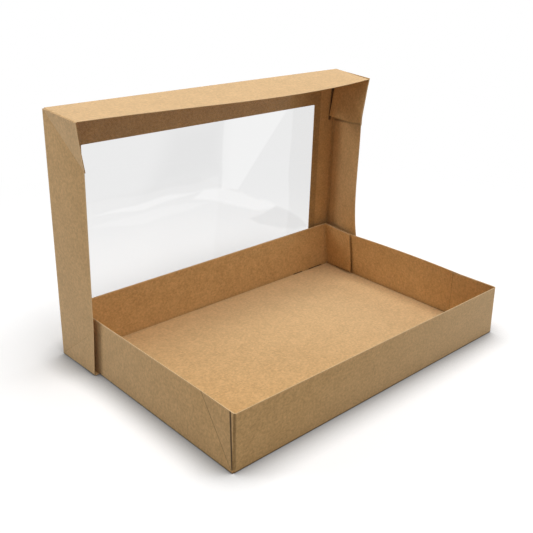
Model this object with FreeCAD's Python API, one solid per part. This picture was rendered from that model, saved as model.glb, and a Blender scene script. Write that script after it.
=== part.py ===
import FreeCAD, Part
import math
import os

Vec = FreeCAD.Vector

# Shallow gift box of kraft paperboard, standing open for display. All sizes are in millimetres.
# The tray lies on the floor, open side up. The lid stands upright behind it, open side
# forwards, and the rear end of the tray is slid into it. Each of the two is one sheet of
# board: a panel, four walls folded up from it, and glue tabs on the ends of the two long
# walls, which lie inside the short walls. A clear film closes the window cut in the lid.

# Board and film
board = 0.6                    # thickness of the kraft board
film = 0.2                     # thickness of the clear window film
glue_line = 0.05               # glue between the film and the board
panel_fold_inner = 0.5         # inner radius of the folds round the panel
corner_fold_inner = 1.3        # inner radius of the upright folds between long walls and tabs
crease_depth = 0.16            # depth of the pressed diagonal creases
crease_tool = 1.1              # radius of the rule that presses them

# Tray
tray_length = 450.0            # along X, over the outside of the board
tray_depth = 298.0             # along Y
tray_wall = 67.0               # height of the walls
tray_front_tab = 66.5          # how far a glue tab reaches along the short wall
tray_rear_tab = 53.5
tray_crease_run = 52.5         # distance of a diagonal crease from the corner at the free edge

# Lid, as it stands: its length runs along X, its depth upwards, its walls forwards
side_clearance = 7.0           # between the tray's short wall and the lid's, on each side
lid_height = 300.5             # over the outside of the board
lid_wall = 70.0                # how far the walls reach forwards
lid_tab = 66.5
lid_left_tab = 58.0            # the top left tab is cut shorter
lid_crease_run = 56.0
rear_gap = 10.8                # from the tray's rear wall to the lid's panel
rest_clearance = 0.05          # where the tray rests on the lid's bottom wall

# Window and its film
window_side_margin = 43.2      # board left beside the window
window_bottom_margin = 45.0
window_top_margin = 47.4
window_radius = 1.5
film_overlap = 12.0            # film glued on the board beside and below the window
film_top_overlap = 30.0        # film glued on the board above the window

# Glued corners: what the card gives way at the free edge
end_gap = 1.0                  # from the fold of the panel to the cut end of a short wall
end_gap_spread = 2.2           # how much wider that gap is at the free edge
tab_foot_lap = 0.6             # width of the glued part of a tab at its lower edge
tab_taper = 1.5                # how much lower the tab's end is than its root
tab_overhang = 2.5             # the lid's top right tab stands out past the wall's free edge instead

# Slits of the cut crease at the tray's rear floor fold, measured from the right corner
slit_width = 0.5
slit_starts = (5.0, 34.0)
slit_lengths = (19.0, 14.0)

panel_fold_outer = panel_fold_inner + board
corner_fold_outer = corner_fold_inner + board


class Corner:
    """One glued corner: its tab, and how far the card leans inwards at the free edge."""

    def __init__(self, tab, end_lean, crease_lean, long_lean, spring_low, spring_high,
                 glued=1.0, taper=tab_taper):
        self.tab = tab                    # how far the tab reaches along the short wall
        self.end_lean = end_lean          # short wall, at its cut end
        self.crease_lean = crease_lean    # short wall, where the diagonal crease runs out
        self.long_lean = long_lean        # long wall
        self.spring_low = spring_low      # free end of the tab off the glued plane, at the panel
        self.spring_high = spring_high    # the same at the free edge
        self.glued = glued                # share of the way to the crease that the glue reaches
        self.taper = taper                # how much lower the tab's end is than its root


class Sheet:
    """One folded sheet in its own frame: panel on z = 0, walls up, x along the long walls."""

    def __init__(self, length, depth, wall, crease_run, corners):
        self.length = length
        self.depth = depth
        self.wall = wall
        self.crease_run = crease_run
        self.corners = corners            # keyed by side (-1 left, 1 right) and end (-1, 1)

    def point(self, side, end, x, y, z):
        """A point given by its distances inwards from one corner of the panel."""
        return Vec(side * (self.length / 2 - x), self.depth / 2 + end * (self.depth / 2 - y), z)

    def rise(self, z):
        """Share of the wall's height that lies below z."""
        return (z - panel_fold_outer) / (self.wall - panel_fold_outer)

    def corner_x(self, corner, y, z):
        """Outer face of the short wall's corner triangle, a plane that leans with the corner."""
        free_gap = end_gap + end_gap_spread
        slope_y = (corner.crease_lean - corner.end_lean) / (self.crease_run - free_gap)
        foot = -slope_y * end_gap
        top = corner.end_lean - slope_y * free_gap
        return foot + slope_y * y + (top - foot) * self.rise(z)

    def tab_foot(self):
        """Height of a tab's lower edge, where the crease has come clear of the upright fold."""
        run_share = (corner_fold_outer + tab_foot_lap - end_gap) / (self.crease_run - end_gap)
        return panel_fold_outer + run_share * (self.wall - panel_fold_outer)

    def fold_y(self, corner, z):
        """Distance from the panel's edge to where the tab starts, past the upright fold."""
        return corner_fold_outer + corner.long_lean * self.rise(z)


def flat_or_ruled(first, second):
    """Face between two edges: plane where the four ends allow it, else ruled."""
    a, b = first.valueAt(first.FirstParameter), first.valueAt(first.LastParameter)
    c, d = second.valueAt(second.LastParameter), second.valueAt(second.FirstParameter)
    normal = (b - a).cross(c - a)
    straight = isinstance(second.Curve, Part.Line)
    if straight and abs(normal.normalize().dot(d - a)) < 1e-7:
        return Part.Face(Part.makePolygon([a, b, c, d, a]))
    return Part.makeRuledSurface(first, second)


def strip(first, second, through):
    """Card between two edges, with its thickness along the vector through."""
    return flat_or_ruled(first, second).extrude(through)


def line(a, b):
    return Part.LineSegment(a, b).toShape()


def free_edge(a, b, between):
    """Free edge of a wall: straight, or bowed through the points between its ends."""
    if not between:
        return line(a, b)
    curve = Part.BSplineCurve()
    curve.interpolate([a] + between + [b])
    return curve.toShape()


def quarter_ring(centre, outward_a, outward_b, inner, outer):
    """Wire round a quarter of a ring, from the direction outward_a to outward_b."""
    diagonal = (outward_a + outward_b).normalize()
    outer_arc = Part.Arc(centre + outward_a * outer, centre + diagonal * outer, centre + outward_b * outer)
    inner_arc = Part.Arc(centre + outward_b * inner, centre + diagonal * inner, centre + outward_a * inner)
    step_in = line(centre + outward_b * outer, centre + outward_b * inner)
    step_out = line(centre + outward_a * inner, centre + outward_a * outer)
    return Part.Wire([outer_arc.toShape(), step_in, inner_arc.toShape(), step_out])


def panel(sheet):
    size_x = sheet.length - 2 * panel_fold_outer
    size_y = sheet.depth - 2 * panel_fold_outer
    return Part.makeBox(size_x, size_y, board, Vec(-size_x / 2, panel_fold_outer, 0))


def side_fold(sheet, side):
    """Rounded fold between the panel and a short wall."""
    start = sheet.point(side, -1, panel_fold_outer, end_gap, panel_fold_outer)
    ring = quarter_ring(start, Vec(side, 0, 0), Vec(0, 0, -1), panel_fold_inner, panel_fold_outer)
    return Part.Face(ring).extrude(Vec(0, sheet.depth - 2 * end_gap, 0))


def long_fold(sheet, end):
    """Rounded fold between the panel and a long wall."""
    inset = board + corner_fold_outer
    start = sheet.point(-1, end, inset, panel_fold_outer, panel_fold_outer)
    ring = quarter_ring(start, Vec(0, end, 0), Vec(0, 0, -1), panel_fold_inner, panel_fold_outer)
    return Part.Face(ring).extrude(Vec(sheet.length - 2 * inset, 0, 0))


def crease_foot(sheet, side, end):
    return sheet.point(side, end, 0, end_gap, panel_fold_outer)


def crease_top(sheet, side, end):
    corner = sheet.corners[side, end]
    return sheet.point(side, end, corner.crease_lean, sheet.crease_run, sheet.wall)


def short_wall(sheet, side, between):
    """Middle of a short wall, between its two diagonal creases."""
    foot = line(crease_foot(sheet, side, -1), crease_foot(sheet, side, 1))
    top = free_edge(crease_top(sheet, side, -1), crease_top(sheet, side, 1), between)
    return strip(foot, top, Vec(-side * board, 0, 0))


def corner_triangle(sheet, side, end):
    """Part of a short wall between its diagonal crease and its cut end, glued on the tab."""
    corner = sheet.corners[side, end]
    foot = crease_foot(sheet, side, end)
    crease = crease_top(sheet, side, end)
    cut_end = sheet.point(side, end, corner.end_lean, end_gap + end_gap_spread, sheet.wall)
    return Part.Face(Part.makePolygon([foot, crease, cut_end, foot])).extrude(Vec(-side * board, 0, 0))


def long_wall_end(sheet, side, end, z):
    """Outer edge of a long wall at height z, where its upright fold starts."""
    corner = sheet.corners[side, end]
    fold_y = sheet.fold_y(corner, z)
    x = sheet.corner_x(corner, fold_y, z) + board + corner_fold_outer
    return sheet.point(side, end, x, fold_y - corner_fold_outer, z)


def long_wall(sheet, end, between):
    foot = line(long_wall_end(sheet, -1, end, panel_fold_outer), long_wall_end(sheet, 1, end, panel_fold_outer))
    left_top = long_wall_end(sheet, -1, end, sheet.wall)
    right_top = long_wall_end(sheet, 1, end, sheet.wall)
    return strip(foot, free_edge(left_top, right_top, between), Vec(0, -end * board, 0))


def upright_fold(sheet, side, end):
    """Rounded fold between a long wall and its glue tab."""
    rings = []
    for z in (sheet.tab_foot(), sheet.wall):
        outer_edge = long_wall_end(sheet, side, end, z)
        centre = outer_edge - Vec(0, end * corner_fold_outer, 0)
        rings.append(quarter_ring(centre, Vec(0, end, 0), Vec(side, 0, 0), corner_fold_inner, corner_fold_outer))
    return Part.makeLoft(rings, True, True)


def tab_point(sheet, side, end, y, z, spring):
    """A point of the tab's outer face, which lies on the inside of the corner triangle."""
    corner = sheet.corners[side, end]
    return sheet.point(side, end, sheet.corner_x(corner, y, z) + board + spring, y, z)


def glue_tab(sheet, side, end):
    """Tab on the end of a long wall: glued to the corner triangle, and free beyond the glue."""
    corner = sheet.corners[side, end]
    through = Vec(-side * board, 0, 0)
    foot_z = sheet.tab_foot()
    glue_foot_y = sheet.fold_y(corner, foot_z) + tab_foot_lap * corner.glued
    glue_top_y = corner.glued * sheet.crease_run
    glue_top_z = sheet.wall - corner.taper * glue_top_y / corner.tab
    root = line(tab_point(sheet, side, end, sheet.fold_y(corner, foot_z), foot_z, 0),
                tab_point(sheet, side, end, sheet.fold_y(corner, sheet.wall), sheet.wall, 0))
    glue_edge = line(tab_point(sheet, side, end, glue_foot_y, foot_z, 0),
                     tab_point(sheet, side, end, glue_top_y, glue_top_z, 0))
    tip = line(tab_point(sheet, side, end, corner.tab, foot_z, corner.spring_low),
               tab_point(sheet, side, end, corner.tab, sheet.wall - corner.taper, corner.spring_high))
    return strip(root, glue_edge, through).fuse(strip(glue_edge, tip, through))


def crease_groove(sheet, side, end):
    """Round bar that presses a diagonal crease into the outside of a short wall."""
    foot = crease_foot(sheet, side, end)
    along = crease_top(sheet, side, end) - foot
    outside = Vec(side * (crease_tool - crease_depth), 0, 0)
    return Part.makeCylinder(crease_tool, along.Length * 1.05, foot + outside, along)


def folded_sheet(sheet, short_bows, long_bows):
    """The whole sheet as one solid, folded and glued at its four corners."""
    pieces = []
    for side in (-1, 1):
        pieces.append(side_fold(sheet, side))
        pieces.append(short_wall(sheet, side, short_bows.get(side, [])))
    for end in (-1, 1):
        pieces.append(long_fold(sheet, end))
        pieces.append(long_wall(sheet, end, long_bows.get(end, [])))
    for side, end in sheet.corners:
        pieces.append(corner_triangle(sheet, side, end))
        pieces.append(upright_fold(sheet, side, end))
        pieces.append(glue_tab(sheet, side, end))
    whole = panel(sheet).fuse(pieces)
    return whole.cut([crease_groove(sheet, side, end) for side, end in sheet.corners])


def rear_slits(sheet):
    """Slits of the cut crease beside the rear floor fold."""
    slits = []
    for start, length in zip(slit_starts, slit_lengths):
        corner = sheet.point(1, 1, start + length, panel_fold_outer + slit_width, -board)
        slits.append(Part.makeBox(length, slit_width, 3 * board, corner))
    return slits


def lid_size_x():
    return tray_length + 2 * (side_clearance + board)


def window_block(spread, top_spread, low, high, radius):
    """Block over the window in the lid's own frame, larger than it by the given spreads."""
    size_x = lid_size_x() - 2 * window_side_margin + 2 * spread
    size_y = lid_height - window_bottom_margin - window_top_margin + spread + top_spread
    block = Part.makeBox(size_x, size_y, high - low, Vec(-size_x / 2, window_bottom_margin - spread, low))
    upright = [edge for edge in block.Edges if abs(edge.tangentAt(edge.FirstParameter).z) > 0.9]
    return block.makeFillet(radius, upright)


def make_tray():
    """The tray. Its right wall bows: out in the middle, and in towards the rear corner."""
    front_left = Corner(tray_front_tab, end_lean=2.8, crease_lean=3.7, long_lean=1.4,
                        spring_low=0.6, spring_high=0.3)
    front_right = Corner(tray_front_tab, end_lean=5.2, crease_lean=6.9, long_lean=0.0,
                         spring_low=0.2, spring_high=0.0)
    rear_left = Corner(tray_rear_tab, end_lean=2.2, crease_lean=3.2, long_lean=0.0,
                       spring_low=1.6, spring_high=0.5)
    rear_right = Corner(tray_rear_tab, end_lean=6.0, crease_lean=11.0, long_lean=-3.8,
                        spring_low=-2.0, spring_high=0.2)
    corners = {(-1, -1): front_left, (1, -1): front_right, (-1, 1): rear_left, (1, 1): rear_right}
    sheet = Sheet(tray_length, tray_depth, tray_wall, tray_crease_run, corners)
    right_bow = [sheet.point(1, -1, 4.7, 0.41 * tray_depth, tray_wall)]
    return folded_sheet(sheet, {1: right_bow}, {}).cut(rear_slits(sheet))


def make_lid():
    """The lid in its own frame, lying on its panel, with the standing lid's top at the back."""
    foot_left = Corner(lid_tab, end_lean=0.8, crease_lean=3.5, long_lean=0.0,
                       spring_low=0.3, spring_high=0.3)
    foot_right = Corner(lid_tab, end_lean=2.0, crease_lean=9.3, long_lean=0.0,
                        spring_low=0.3, spring_high=0.3)
    top_left = Corner(lid_left_tab, end_lean=-1.0, crease_lean=5.7, long_lean=2.6,
                      spring_low=0.6, spring_high=1.1, glued=0.45)
    top_right = Corner(lid_tab, end_lean=8.7, crease_lean=20.5, long_lean=4.1,
                       spring_low=-2.7, spring_high=-2.0, taper=-tab_overhang)
    corners = {(-1, -1): foot_left, (1, -1): foot_right, (-1, 1): top_left, (1, 1): top_right}
    sheet = Sheet(lid_size_x(), lid_height, lid_wall, lid_crease_run, corners)
    left_bow = [sheet.point(-1, -1, 4.6, 0.5 * lid_height, lid_wall)]
    right_bow = [sheet.point(1, -1, 16.6, 0.3 * lid_height, lid_wall),
                 sheet.point(1, -1, 20.2, 0.5 * lid_height, lid_wall)]
    top_bow = [sheet.point(-1, 1, 0.41 * lid_size_x(), 7.2, lid_wall),
               sheet.point(-1, 1, 0.7 * lid_size_x(), 9.2, lid_wall)]
    whole = folded_sheet(sheet, {-1: left_bow, 1: right_bow}, {1: top_bow})
    return whole.cut(window_block(0, 0, -board, 2 * board, window_radius))


def make_film():
    low = board + glue_line
    return window_block(film_overlap, film_top_overlap, low, low + film, window_radius)


def stand_up(shape):
    """Turns a piece of the lid upright behind the tray, its open side forwards."""
    standing = shape.copy()
    standing.rotate(Vec(0, 0, 0), Vec(1, 0, 0), 90)
    standing.translate(Vec(0, tray_depth + rear_gap + board, 0))
    return standing


def rest_on_lid(tray):
    """Tips the tray on its front edge until its floor lies on the lid's bottom wall."""
    front_edge = Vec(0, panel_fold_outer, 0)
    support_y = tray_depth + rear_gap + board - lid_wall
    tip = math.atan((board + rest_clearance) / (support_y - panel_fold_outer))
    tray.rotate(front_edge, Vec(1, 0, 0), math.degrees(tip))
    return tray


def main():
    os.makedirs("parts", exist_ok=True)
    nodes = {
        "tray": rest_on_lid(make_tray()),
        "lid": stand_up(make_lid()),
        "window_film": stand_up(make_film()),
    }
    box = Part.makeCompound(list(nodes.values())).BoundBox
    middle = Vec(-(box.XMin + box.XMax) / 2, -(box.YMin + box.YMax) / 2, 0)
    for name, shape in nodes.items():
        shape.translate(middle)
        print(name, shape.ShapeType, len(shape.Solids), shape.isValid(), round(shape.Volume, 1))
        shape.exportStep(os.path.join("parts", name + ".step"))
    print("box", box)
    print("moved by", middle)


main()
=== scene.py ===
import math

import bpy
from mathutils import Matrix, Vector

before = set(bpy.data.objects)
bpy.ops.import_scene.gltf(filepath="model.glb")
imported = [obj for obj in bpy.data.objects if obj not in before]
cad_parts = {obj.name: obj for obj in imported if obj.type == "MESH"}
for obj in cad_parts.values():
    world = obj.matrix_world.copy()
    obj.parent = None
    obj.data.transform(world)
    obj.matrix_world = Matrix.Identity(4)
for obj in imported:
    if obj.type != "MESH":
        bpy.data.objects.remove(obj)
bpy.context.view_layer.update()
bpy.ops.object.select_all(action="DESELECT")

MM = 0.001
DEG = math.pi / 180

# Camera: where it stands and what it looks at, in metres and degrees
CAMERA_TARGET = Vector((0.0843, 0.1334, 0.036))
CAMERA_DISTANCE = 1.1117
CAMERA_AZIMUTH = -43.39
CAMERA_ELEVATION = 23.45
CAMERA_ROLL = 1.70
# Its lens and the width of its sensor, in millimetres
CAMERA_LENS = 52.02
CAMERA_SENSOR = 36.0

# Softboxes: place, aim, width and power, in metres and watts
OVERHEAD_LIGHT = ((0.20, -0.45, 3.10), (0.0, 0.0, 0.08), 2.0, 78.0)
LEFT_LIGHT = ((-1.12, 0.90, 0.68), (0.0, 0.0, 0.08), 0.6, 6.2)
RIGHT_LIGHT = ((1.60, 0.20, 1.10), (0.0, 0.0, 0.08), 0.7, 4.5)
FRONT_LIGHT = ((0.95, -0.80, 0.35), (0.05, 0.0, 0.08), 0.5, 1.8)
FILL_LIGHT = ((-0.85, -1.47, 0.55), (0.0, 0.0, 0.08), 0.9, 1.3)
# How brightly the white room lights the object, where 1 is white
ROOM_LIGHT = 0.15

# Ways that faces look
LEFT = (-1.0, 0.0, 0.0)
RIGHT = (1.0, 0.0, 0.0)
FRONT = (0.0, -1.0, 0.0)
FRONT_LEFT = (-0.7, -0.7, 0.0)
FRONT_UP = (0.0, -0.7, 0.7)

# Lines of painted shade on the board, in millimetres: start, end, half width of the dark part, half width
# with its soft edge, how dark it is, and the way the face that carries it looks
TRAY_SHADE_LINES = (
    # Painted shadow in the open joint at the front left corner, and painted shade on the fold beside it
    ((-221.9, -146.9, 66.0), (-224.4, -153.4, 5.0), 0.8, 1.6, 0.88, LEFT),
    ((-221.2, -152.5, 66.0), (-221.5, -154.5, 5.0), 0.6, 2.0, 0.34, FRONT_LEFT),
    # Painted shade in the pressed diagonals of the short walls
    ((-221.0, -101.6, 66.8), (-224.8, -154.0, 0.6), 0.1, 0.8, 0.42, LEFT),
    ((-219.0, 90.1, 66.8), (-224.8, 142.6, 0.6), 0.1, 0.8, 0.42, LEFT),
    ((219.0, -101.6, 66.8), (224.8, -154.0, 0.6), 0.1, 0.8, 0.42, RIGHT),
    ((219.0, 90.1, 66.8), (224.8, 142.6, 0.6), 0.1, 0.8, 0.42, RIGHT),
    # Painted shadow along the free edges of the glue tabs
    ((217.2, -91.0, 66.5), (221.2, -89.5, 2.0), 0.2, 1.0, 0.30, LEFT),
    ((213.2, 89.9, 66.5), (224.4, 92.2, 2.0), 0.5, 1.6, 0.60, LEFT),
    ((-217.2, -91.0, 66.5), (-221.2, -89.5, 2.0), 0.2, 1.0, 0.30, RIGHT),
    # Slits in the rear fold, drawn as painted shade
    ((151.0, 143.0, 1.6), (168.0, 143.0, 1.6), 0.6, 1.4, 0.90, FRONT_UP),
    ((184.0, 143.0, 1.6), (210.0, 143.0, 1.6), 0.6, 1.4, 0.90, FRONT_UP),
)
LID_SHADE_LINES = (
    # Painted shade in the pressed diagonals of the short walls
    ((-233.0, 154.6, 300.2), (-231.0, 84.8, 244.5), 0.1, 0.9, 0.42, LEFT),
    ((-233.0, 154.6, 0.4), (-233.0, 84.8, 56.0), 0.1, 0.9, 0.42, LEFT),
    ((231.0, 154.6, 300.2), (211.0, 84.8, 244.5), 0.1, 0.9, 0.30, RIGHT),
    ((231.0, 154.6, 0.4), (231.0, 84.8, 56.0), 0.1, 0.9, 0.30, RIGHT),
    # Painted shadow in the gaps beside and below the upper right glue tab
    ((227.6, 154.2, 288.0), (223.2, 154.2, 229.5), 1.4, 4.0, 0.75, FRONT),
    ((231.8, 151.2, 227.4), (210.6, 86.0, 234.4), 0.4, 3.0, 0.50, LEFT),
)
# A line darkens only faces turned its way by more than this, so that it doesn't show through the sheet
LINE_TURN = 0.4

# Cut edges all round the opening: the way the opening faces, and how far out the edges stand
TRAY_RIM = ((0.0, 0.0, 1.0), 67.0)
LID_RIM = ((0.0, -1.0, 0.0), -84.8)
# How deep below the rim the paler cut edge, partly a painted highlight, starts to show, and where it shows in
# full
CUT_START = 1.1
CUT_FULL = 0.3

# Kraft board: the ends of its cloudy brown, its shives, its painted sheen, its cut edges with a painted
# highlight, and its painted shade
CLOUD_DARK = "#C29A65"
CLOUD_PALE = "#DDB37B"
SHIVE_BROWN = "#A47C4C"
PAINTED_SHEEN_PALE = "#F0E2C8"
CUT_EDGE_AND_HIGHLIGHT_PALE = "#EBCFA2"
PAINTED_SHADE_BROWN = "#2A1B0E"

# Its patterns, as how many fit in a metre. The pulp gathers in soft clouds about 22 mm across, with a
# formation of about 3 mm in them, and has darker shives about 1.4 mm across
CLOUDS = 45.0
FORMATION = 330.0
SHIVES = 700.0
# Real fibres are 3 mm long and 0.03 mm wide: drawn 6 mm by 0.7 mm, so that they show
FIBRES = (170.0, 1400.0, 1400.0)
# The sheet waves a little over about 60 mm
WAVES = 16.0
# How far fibres and waves stand proud. Fibres are drawn higher than real ones, so that they show
FIBRE_RELIEF = 0.06 * MM
WAVE_RELIEF = 1.2 * MM
# How far from a fold the painted shade reaches, and the height over which the painted shadow at the foot of a
# wall fades
FOLD_SHADE_REACH = 8 * MM
FOOT_SHADOW_LOW = 0.8 * MM
FOOT_SHADOW_HIGH = 2.4 * MM

# Where the window shows the film, in millimetres: lowest and highest x and z
WINDOW = ((-190.5, 44.5), (190.5, 253.5))
# The bands of the room that the film mirrors are drawn on it as faint patches: corners in x and z, the
# width of the soft edge, and how much lighter or darker the film is there
FILM_PATCHES = (
    (((16, 160), (48, 157), (137, 256), (20, 256)), 5.0, 0.030),
    (((-195, 151), (-106, 160), (-37, 155), (-12, 168), (-68, 171), (-195, 164)), 4.0, 0.026),
    (((-37, 155), (23, 139), (88, 110), (120, 117), (102, 130), (54, 152), (-12, 168)), 6.0, 0.032),
    (((-195, 136), (-107, 142), (59, 118), (23, 141), (-37, 157), (-195, 154)), 5.0, 0.012),
    (((-195, 40), (10, 40), (10, 180), (-195, 180)), 4.0, 0.008),
    (((141, 40), (190, 40), (190, 256), (141, 256)), 3.0, -0.018),
    (((155, 66), (184, 64), (120, 116), (74, 112)), 5.0, -0.034),
    (((-95, 183), (14, 183), (20, 256), (-60, 256)), 50.0, -0.028),
    (((-195, 40), (-90, 40), (-90, 130), (-195, 130)), 45.0, 0.006),
)
# How much light the film lets through, free in the window and glued to the board
FREE_FILM = "#F5F5F5"
GLUED_FILM = 0.935
# How much both faces mirror face on, and how rough they are
FILM_MIRROR = 0.006
FILM_ROUGH = 0.03
# The patches' outlines bend by this much, in bends about 110 mm long
PATCH_BENDS = 9.0
PATCH_BEND = 12 * MM

# Floor: its paper as it is seen and as it throws light back, and its added brightness where it is seen
PAPER_SEEN = "#F2F2F2"
PAPER_LIT = "#B4B4B4"
PAPER_LIFT = 0.15
# The distances, in metres, between which it turns into plain white
PAPER_NEAR = 0.32
PAPER_FAR = 0.85
# How far from the object the painted contact shadow reaches on the paper, and how light the paper still is where
# they meet
CONTACT_REACH = 40 * MM
CONTACT_LIGHT = 0.30
FLOOR_SIZE = 12.0


def linear(hex_colour):
    """sRGB hex colour as linear RGBA."""
    channels = [int(hex_colour[i:i + 2], 16) / 255 for i in (1, 3, 5)]
    return [c / 12.92 if c <= 0.04045 else ((c + 0.055) / 1.055) ** 2.4 for c in channels] + [1.0]


def add_node(tree, kind, inputs=None, **settings):
    """Adds a node, sets its properties, and sets or links its inputs."""
    node = tree.nodes.new(kind)
    for name, value in settings.items():
        setattr(node, name, value)
    for key, value in (inputs or {}).items():
        if isinstance(value, bpy.types.NodeSocket):
            tree.links.new(value, node.inputs[key])
        else:
            node.inputs[key].default_value = value
    return node


def empty_material(name):
    material = bpy.data.materials.new(name)
    material.use_nodes = True
    material.node_tree.nodes.clear()
    return material


def near_shade_line(tree, place, normal, line):
    """How much painted shade a line puts at a place: its darkness along the middle, 0 beyond its soft edge."""
    start, end, half, soft, painted_shade, facing = line
    start = Vector(start) * MM
    run = Vector(end) * MM - start
    from_start = add_node(tree, "ShaderNodeVectorMath", {0: place, 1: start}, operation="SUBTRACT")
    from_start = from_start.outputs[0]
    share = add_node(tree, "ShaderNodeVectorMath", {0: from_start, 1: run / run.length_squared},
                     operation="DOT_PRODUCT").outputs["Value"]
    share = add_node(tree, "ShaderNodeClamp", {0: share}).outputs[0]
    nearest = add_node(tree, "ShaderNodeVectorMath", {0: run, "Scale": share}, operation="SCALE").outputs[0]
    away = add_node(tree, "ShaderNodeVectorMath", {0: from_start, 1: nearest},
                    operation="DISTANCE").outputs["Value"]
    turn = add_node(tree, "ShaderNodeVectorMath", {0: normal, 1: facing},
                    operation="DOT_PRODUCT").outputs["Value"]
    turn = add_node(tree, "ShaderNodeMath", {0: turn, 1: LINE_TURN}, operation="GREATER_THAN").outputs[0]
    shade = add_node(tree, "ShaderNodeMapRange", {
        "Value": away, "From Min": half * MM, "From Max": soft * MM, "To Min": painted_shade, "To Max": 0.0})
    return add_node(tree, "ShaderNodeMath", {0: shade.outputs[0], 1: turn}, operation="MULTIPLY").outputs[0]


def fibre_noise(tree, place, way):
    """Noise drawn out along the sheet, as its fibres lie: along x, and upright on the short walls."""
    side = add_node(tree, "ShaderNodeMath", {0: way["X"]}, operation="ABSOLUTE").outputs[0]
    side = add_node(tree, "ShaderNodeMath", {0: side, 1: 0.7}, operation="GREATER_THAN").outputs[0]
    turned = add_node(tree, "ShaderNodeMapping", {"Vector": place, "Rotation": (0.0, 90 * DEG, 0.0)})
    along = add_node(tree, "ShaderNodeMix", {0: side, 4: place, 5: turned.outputs[0]},
                     data_type="VECTOR").outputs[1]
    along = add_node(tree, "ShaderNodeMapping", {"Vector": along, "Scale": FIBRES}).outputs[0]
    return add_node(tree, "ShaderNodeTexNoise", {
        "Vector": along, "Scale": 1.0, "Detail": 2.0, "Distortion": 0.6}).outputs["Fac"]


def painted_shade_places(tree, place, normal, way, shade_lines):
    """Painted shade on the board: at its folds and joints, along its lines and at the foot of its walls."""
    # Painted shade in folds, joints and corners, from ambient occlusion
    painted_shade = add_node(tree, "ShaderNodeAmbientOcclusion", {"Distance": FOLD_SHADE_REACH}, samples=16, only_local=True)
    painted_shade = add_node(tree, "ShaderNodeMapRange", {
        "Value": painted_shade.outputs["AO"], "From Min": 0.1, "From Max": 0.9, "To Min": 0.36, "To Max": 0.0}).outputs[0]
    for line in shade_lines:
        shade = near_shade_line(tree, place, normal, line)
        painted_shade = add_node(tree, "ShaderNodeMath", {0: painted_shade, 1: shade}, operation="MAXIMUM").outputs[0]
    # Painted shadow at the foot of the upright walls, where they meet the floor
    height = add_node(tree, "ShaderNodeSeparateXYZ", {0: place}).outputs["Z"]
    foot_shadow = add_node(tree, "ShaderNodeMapRange", {
        "Value": height, "From Min": FOOT_SHADOW_LOW, "From Max": FOOT_SHADOW_HIGH, "To Min": 0.75, "To Max": 0.0}).outputs[0]
    upright = add_node(tree, "ShaderNodeMath", {0: way["Z"]}, operation="ABSOLUTE").outputs[0]
    upright = add_node(tree, "ShaderNodeMath", {0: upright, 1: 0.8}, operation="LESS_THAN").outputs[0]
    foot_shadow = add_node(tree, "ShaderNodeMath", {0: foot_shadow, 1: upright}, operation="MULTIPLY").outputs[0]
    return add_node(tree, "ShaderNodeMath", {0: painted_shade, 1: foot_shadow}, operation="MAXIMUM").outputs[0]


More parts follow.
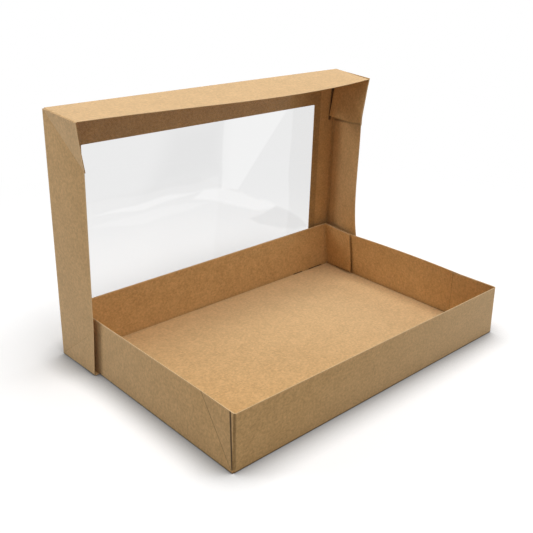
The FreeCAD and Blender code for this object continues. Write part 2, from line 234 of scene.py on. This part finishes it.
def kraft_board(name, shade_lines, rim):
    """Unbleached kraft paperboard: brown wood fibres, calendered between smooth rollers.

    To the eye it is matt, softly clouded and flecked, with a painted pale sheen where seen at a low angle.
    """
    material = empty_material(name)
    tree = material.node_tree
    coords = add_node(tree, "ShaderNodeTexCoord").outputs
    place = coords["Object"]
    normal = coords["Normal"]
    clouds = add_node(tree, "ShaderNodeTexNoise", {
        "Vector": place, "Scale": CLOUDS, "Detail": 3.0, "Roughness": 0.55}).outputs["Fac"]
    formation = add_node(tree, "ShaderNodeTexNoise", {
        "Vector": place, "Scale": FORMATION, "Detail": 3.0, "Roughness": 0.6}).outputs["Fac"]
    mottle = add_node(tree, "ShaderNodeMix", {0: 0.75, 2: clouds, 3: formation}).outputs[0]
    spread = add_node(tree, "ShaderNodeMapRange", {
        "Value": mottle, "From Min": 0.36, "From Max": 0.64}).outputs[0]
    colour = add_node(tree, "ShaderNodeMix", {
        0: spread, 6: linear(CLOUD_DARK), 7: linear(CLOUD_PALE)}, data_type="RGBA").outputs[2]
    way = add_node(tree, "ShaderNodeSeparateXYZ", {0: normal}).outputs
    fibres = fibre_noise(tree, place, way)
    light = add_node(tree, "ShaderNodeMapRange", {
        "Value": fibres, "From Min": 0.30, "From Max": 0.70, "To Min": 0.93, "To Max": 1.07}).outputs[0]
    colour = add_node(tree, "ShaderNodeVectorMath", {0: colour, "Scale": light}, operation="SCALE").outputs[0]
    # A few darker shives, well apart
    grit = add_node(tree, "ShaderNodeTexNoise", {
        "Vector": place, "Scale": SHIVES, "Detail": 1.0}).outputs["Fac"]
    shives = add_node(tree, "ShaderNodeMapRange", {
        "Value": grit, "From Min": 0.66, "From Max": 0.74}).outputs[0]
    shives = add_node(tree, "ShaderNodeMath", {0: shives, 1: 0.5}, operation="MULTIPLY").outputs[0]
    colour = add_node(tree, "ShaderNodeMix", {
        0: shives, 6: colour, 7: linear(SHIVE_BROWN)}, data_type="RGBA").outputs[2]
    # Painted sheen: the sheet is mixed paler where it is seen at a low angle
    facing = add_node(tree, "ShaderNodeLayerWeight", {"Blend": 0.5}).outputs["Facing"]
    painted_sheen = add_node(tree, "ShaderNodeMapRange", {
        "Value": facing, "From Min": 0.42, "From Max": 0.56, "To Min": 0.0, "To Max": 0.16}).outputs[0]
    colour = add_node(tree, "ShaderNodeMix", {
        0: painted_sheen, 6: colour, 7: linear(PAINTED_SHEEN_PALE)}, data_type="RGBA").outputs[2]
    # Cut edges show the paler middle of the sheet; the pale band along the rim is partly a painted highlight
    opening, stand = rim
    edge_and_highlight = add_node(tree, "ShaderNodeVectorMath", {0: place, 1: opening},
                    operation="DOT_PRODUCT").outputs["Value"]
    edge_and_highlight = add_node(tree, "ShaderNodeMapRange", {
        "Value": edge_and_highlight, "From Min": (stand - CUT_START) * MM, "From Max": (stand - CUT_FULL) * MM,
        "To Max": 0.55}).outputs[0]
    colour = add_node(tree, "ShaderNodeMix", {
        0: edge_and_highlight, 6: colour, 7: linear(CUT_EDGE_AND_HIGHLIGHT_PALE)}, data_type="RGBA").outputs[2]
    # Painted shade at the folds, joints, lines and foot of the walls
    painted_shade = painted_shade_places(tree, place, normal, way, shade_lines)
    colour = add_node(tree, "ShaderNodeMix", {
        0: painted_shade, 6: colour, 7: linear(PAINTED_SHADE_BROWN)}, data_type="RGBA").outputs[2]
    rough = add_node(tree, "ShaderNodeMapRange", {
        "Value": formation, "From Min": 0.3, "From Max": 0.7, "To Min": 0.50, "To Max": 0.60}).outputs[0]
    # The surface is nearly flat
    fine = add_node(tree, "ShaderNodeBump", {"Strength": 0.35, "Distance": FIBRE_RELIEF, "Height": fibres})
    wave = add_node(tree, "ShaderNodeTexNoise", {
        "Vector": place, "Scale": WAVES, "Detail": 1.0}).outputs["Fac"]
    relief = add_node(tree, "ShaderNodeBump", {
        "Strength": 0.5, "Distance": WAVE_RELIEF, "Height": wave, "Normal": fine.outputs[0]})
    board = add_node(tree, "ShaderNodeBsdfPrincipled", {
        "Base Color": colour, "Roughness": rough, "Specular IOR Level": 0.12, "Normal": relief.outputs[0]})
    add_node(tree, "ShaderNodeOutputMaterial", {"Surface": board.outputs[0]})
    return material


def inside(tree, place, corners, soft):
    """1 where a place is on the inner side of every edge of an outline in x and z, falling to 0 over a soft
    edge. Corners go round anticlockwise, seen with x to the right and z up.
    """
    depth = None
    for (x0, z0), (x1, z1) in zip(corners, corners[1:] + corners[:1]):
        length = math.hypot(x1 - x0, z1 - z0)
        across = ((z0 - z1) / length, 0.0, (x1 - x0) / length)
        offset = -(across[0] * x0 + across[2] * z0) * MM
        step = add_node(tree, "ShaderNodeVectorMath", {0: place, 1: across},
                        operation="DOT_PRODUCT").outputs["Value"]
        step = add_node(tree, "ShaderNodeMath", {0: step, 1: offset}, operation="ADD").outputs[0]
        if depth is None:
            depth = step
        else:
            depth = add_node(tree, "ShaderNodeMath", {0: depth, 1: step}, operation="MINIMUM").outputs[0]
    return add_node(tree, "ShaderNodeMapRange", {
        "Value": depth, "From Min": -soft * MM / 2, "From Max": soft * MM / 2},
        interpolation_type="SMOOTHSTEP").outputs[0]


def clear_film():
    """Clear polyester film, drawn thin: what is behind it shows through, and it mirrors at low angles."""
    material = empty_material("polyester_film_drawn")
    tree = material.node_tree
    facing = add_node(tree, "ShaderNodeLayerWeight", {"Blend": 0.5}).outputs["Facing"]
    grazing = add_node(tree, "ShaderNodeMath", {0: facing, 1: 5.0}, operation="POWER").outputs[0]
    mirror = add_node(tree, "ShaderNodeMapRange", {
        "Value": grazing, "To Min": FILM_MIRROR, "To Max": 1.0}).outputs[0]
    # Free film in the window is a little milky and carries the painted reflection patches; where it is glued to
    # the board it is clearer
    place = add_node(tree, "ShaderNodeTexCoord").outputs["Object"]
    ripple = add_node(tree, "ShaderNodeTexNoise", {
        "Vector": place, "Scale": PATCH_BENDS, "Detail": 1.0}).outputs["Fac"]
    bent = add_node(tree, "ShaderNodeMapRange", {
        "Value": ripple, "To Min": -PATCH_BEND, "To Max": PATCH_BEND}).outputs[0]
    bent = add_node(tree, "ShaderNodeVectorMath", {0: place, 1: bent}, operation="ADD").outputs[0]
    milk_and_reflections = linear(FREE_FILM)[0]
    for corners, soft, change in FILM_PATCHES:
        patch = inside(tree, bent, corners, soft)
        milk_and_reflections = add_node(tree, "ShaderNodeMath", {0: patch, 1: change, 2: milk_and_reflections},
                        operation="MULTIPLY_ADD").outputs[0]
    (left, low), (right, high) = WINDOW
    free = inside(tree, place, ((left, low), (right, low), (right, high), (left, high)), 1.0)
    clear = add_node(tree, "ShaderNodeMix", {0: free, 2: GLUED_FILM, 3: milk_and_reflections}).outputs[0]
    through = add_node(tree, "ShaderNodeBsdfTransparent", {"Color": clear})
    gloss = add_node(tree, "ShaderNodeBsdfGlossy", {"Color": linear("#FFFFFF"), "Roughness": FILM_ROUGH})
    film = add_node(tree, "ShaderNodeMixShader", {0: mirror, 1: through.outputs[0], 2: gloss.outputs[0]})
    add_node(tree, "ShaderNodeOutputMaterial", {"Surface": film.outputs[0]})
    return material


def paint(node, material):
    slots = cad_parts[node].data.materials
    slots.clear()
    slots.append(material)


def seen_directly(tree):
    """1 for camera, glossy and transmission rays, 0 for the light that falls on things."""
    path = add_node(tree, "ShaderNodeLightPath").outputs
    seen = add_node(tree, "ShaderNodeMath", {0: path["Is Camera Ray"], 1: path["Is Glossy Ray"]},
                    operation="MAXIMUM").outputs[0]
    return add_node(tree, "ShaderNodeMath", {0: seen, 1: path["Is Transmission Ray"]},
                    operation="MAXIMUM").outputs[0]


def studio_floor():
    """White paper. Away from the object it turns into plain white, as the background is."""
    bpy.ops.mesh.primitive_plane_add(size=FLOOR_SIZE, location=(0, 0, 0))
    floor = bpy.context.object
    floor.name = "studio_floor"
    material = empty_material("studio_floor_paper")
    tree = material.node_tree
    seen = seen_directly(tree)
    place = add_node(tree, "ShaderNodeTexCoord").outputs["Object"]
    away = add_node(tree, "ShaderNodeVectorMath", {0: place}, operation="LENGTH").outputs["Value"]
    far = add_node(tree, "ShaderNodeMapRange", {
        "Value": away, "From Min": PAPER_NEAR, "From Max": PAPER_FAR},
        interpolation_type="SMOOTHSTEP").outputs[0]
    far = add_node(tree, "ShaderNodeMath", {0: far, 1: seen}, operation="MULTIPLY").outputs[0]
    shade = add_node(tree, "ShaderNodeMix", {
        0: seen, 6: linear(PAPER_LIT), 7: linear(PAPER_SEEN)}, data_type="RGBA").outputs[2]
    # The object's contact shadow is drawn stronger than the lamps alone make it
    contact_shadow = add_node(tree, "ShaderNodeAmbientOcclusion", {"Distance": CONTACT_REACH}, samples=12).outputs["AO"]
    contact_shadow = add_node(tree, "ShaderNodeMapRange", {
        "Value": contact_shadow, "From Min": 0.45, "From Max": 1.0, "To Min": CONTACT_LIGHT, "To Max": 1.0}).outputs[0]
    lift = add_node(tree, "ShaderNodeMath", {0: seen, 1: PAPER_LIFT}, operation="MULTIPLY").outputs[0]
    lift = add_node(tree, "ShaderNodeMath", {0: lift, 1: contact_shadow}, operation="MULTIPLY").outputs[0]
    shade = add_node(tree, "ShaderNodeVectorMath", {0: shade, "Scale": contact_shadow}, operation="SCALE").outputs[0]
    paper = add_node(tree, "ShaderNodeBsdfDiffuse", {"Color": shade})
    glow = add_node(tree, "ShaderNodeEmission", {"Color": linear("#FFFFFF"), "Strength": lift})
    near = add_node(tree, "ShaderNodeAddShader", {0: paper.outputs[0], 1: glow.outputs[0]})
    white = add_node(tree, "ShaderNodeEmission", {"Color": linear("#FFFFFF"), "Strength": 1.0})
    both = add_node(tree, "ShaderNodeMixShader", {0: far, 1: near.outputs[0], 2: white.outputs[0]})
    add_node(tree, "ShaderNodeOutputMaterial", {"Surface": both.outputs[0]})
    floor.data.materials.append(material)


def studio_world():
    """A white room. It is dimmer for the light that falls on the object."""
    world = bpy.data.worlds.new("studio_world")
    bpy.context.scene.world = world
    world.use_nodes = True
    tree = world.node_tree
    tree.nodes.clear()
    strength = add_node(tree, "ShaderNodeMapRange", {
        "Value": seen_directly(tree), "To Min": ROOM_LIGHT, "To Max": 1.0}).outputs[0]
    light = add_node(tree, "ShaderNodeBackground", {"Color": linear("#FFFFFF"), "Strength": strength})
    add_node(tree, "ShaderNodeOutputWorld", {"Surface": light.outputs[0]})


def soft_light(name, place, aim, size, power):
    data = bpy.data.lights.new(name, "AREA")
    data.shape = "SQUARE"
    data.size = size
    data.energy = power
    lamp = bpy.data.objects.new(name, data)
    bpy.context.collection.objects.link(lamp)
    lamp.location = place
    lamp.rotation_euler = (Vector(aim) - Vector(place)).to_track_quat("-Z", "Y").to_euler()


def studio_camera():
    azimuth = CAMERA_AZIMUTH * DEG
    elevation = CAMERA_ELEVATION * DEG
    back = Vector((math.sin(azimuth) * math.cos(elevation), -math.cos(azimuth) * math.cos(elevation),
                   math.sin(elevation)))
    right = (-back).cross(Vector((0, 0, 1))).normalized()
    right = Matrix.Rotation(CAMERA_ROLL * DEG, 3, back) @ right
    up = back.cross(right)
    data = bpy.data.cameras.new("studio_camera")
    data.sensor_width = CAMERA_SENSOR
    data.lens = CAMERA_LENS
    camera = bpy.data.objects.new("studio_camera", data)
    bpy.context.collection.objects.link(camera)
    camera.matrix_world = Matrix.Translation(CAMERA_TARGET + back * CAMERA_DISTANCE) @ Matrix(
        (right, up, back)).transposed().to_4x4()
    bpy.context.scene.camera = camera


paint("tray", kraft_board("kraft_paperboard_calendered_tray", TRAY_SHADE_LINES, TRAY_RIM))
paint("lid", kraft_board("kraft_paperboard_calendered_lid", LID_SHADE_LINES, LID_RIM))
paint("window_film", clear_film())

studio_floor()
studio_world()
soft_light("overhead_light", *OVERHEAD_LIGHT)
soft_light("front_light", *FRONT_LIGHT)
soft_light("left_light", *LEFT_LIGHT)
soft_light("right_light", *RIGHT_LIGHT)
soft_light("fill_light", *FILL_LIGHT)
studio_camera()
bpy.context.scene.view_settings.view_transform = "Standard"
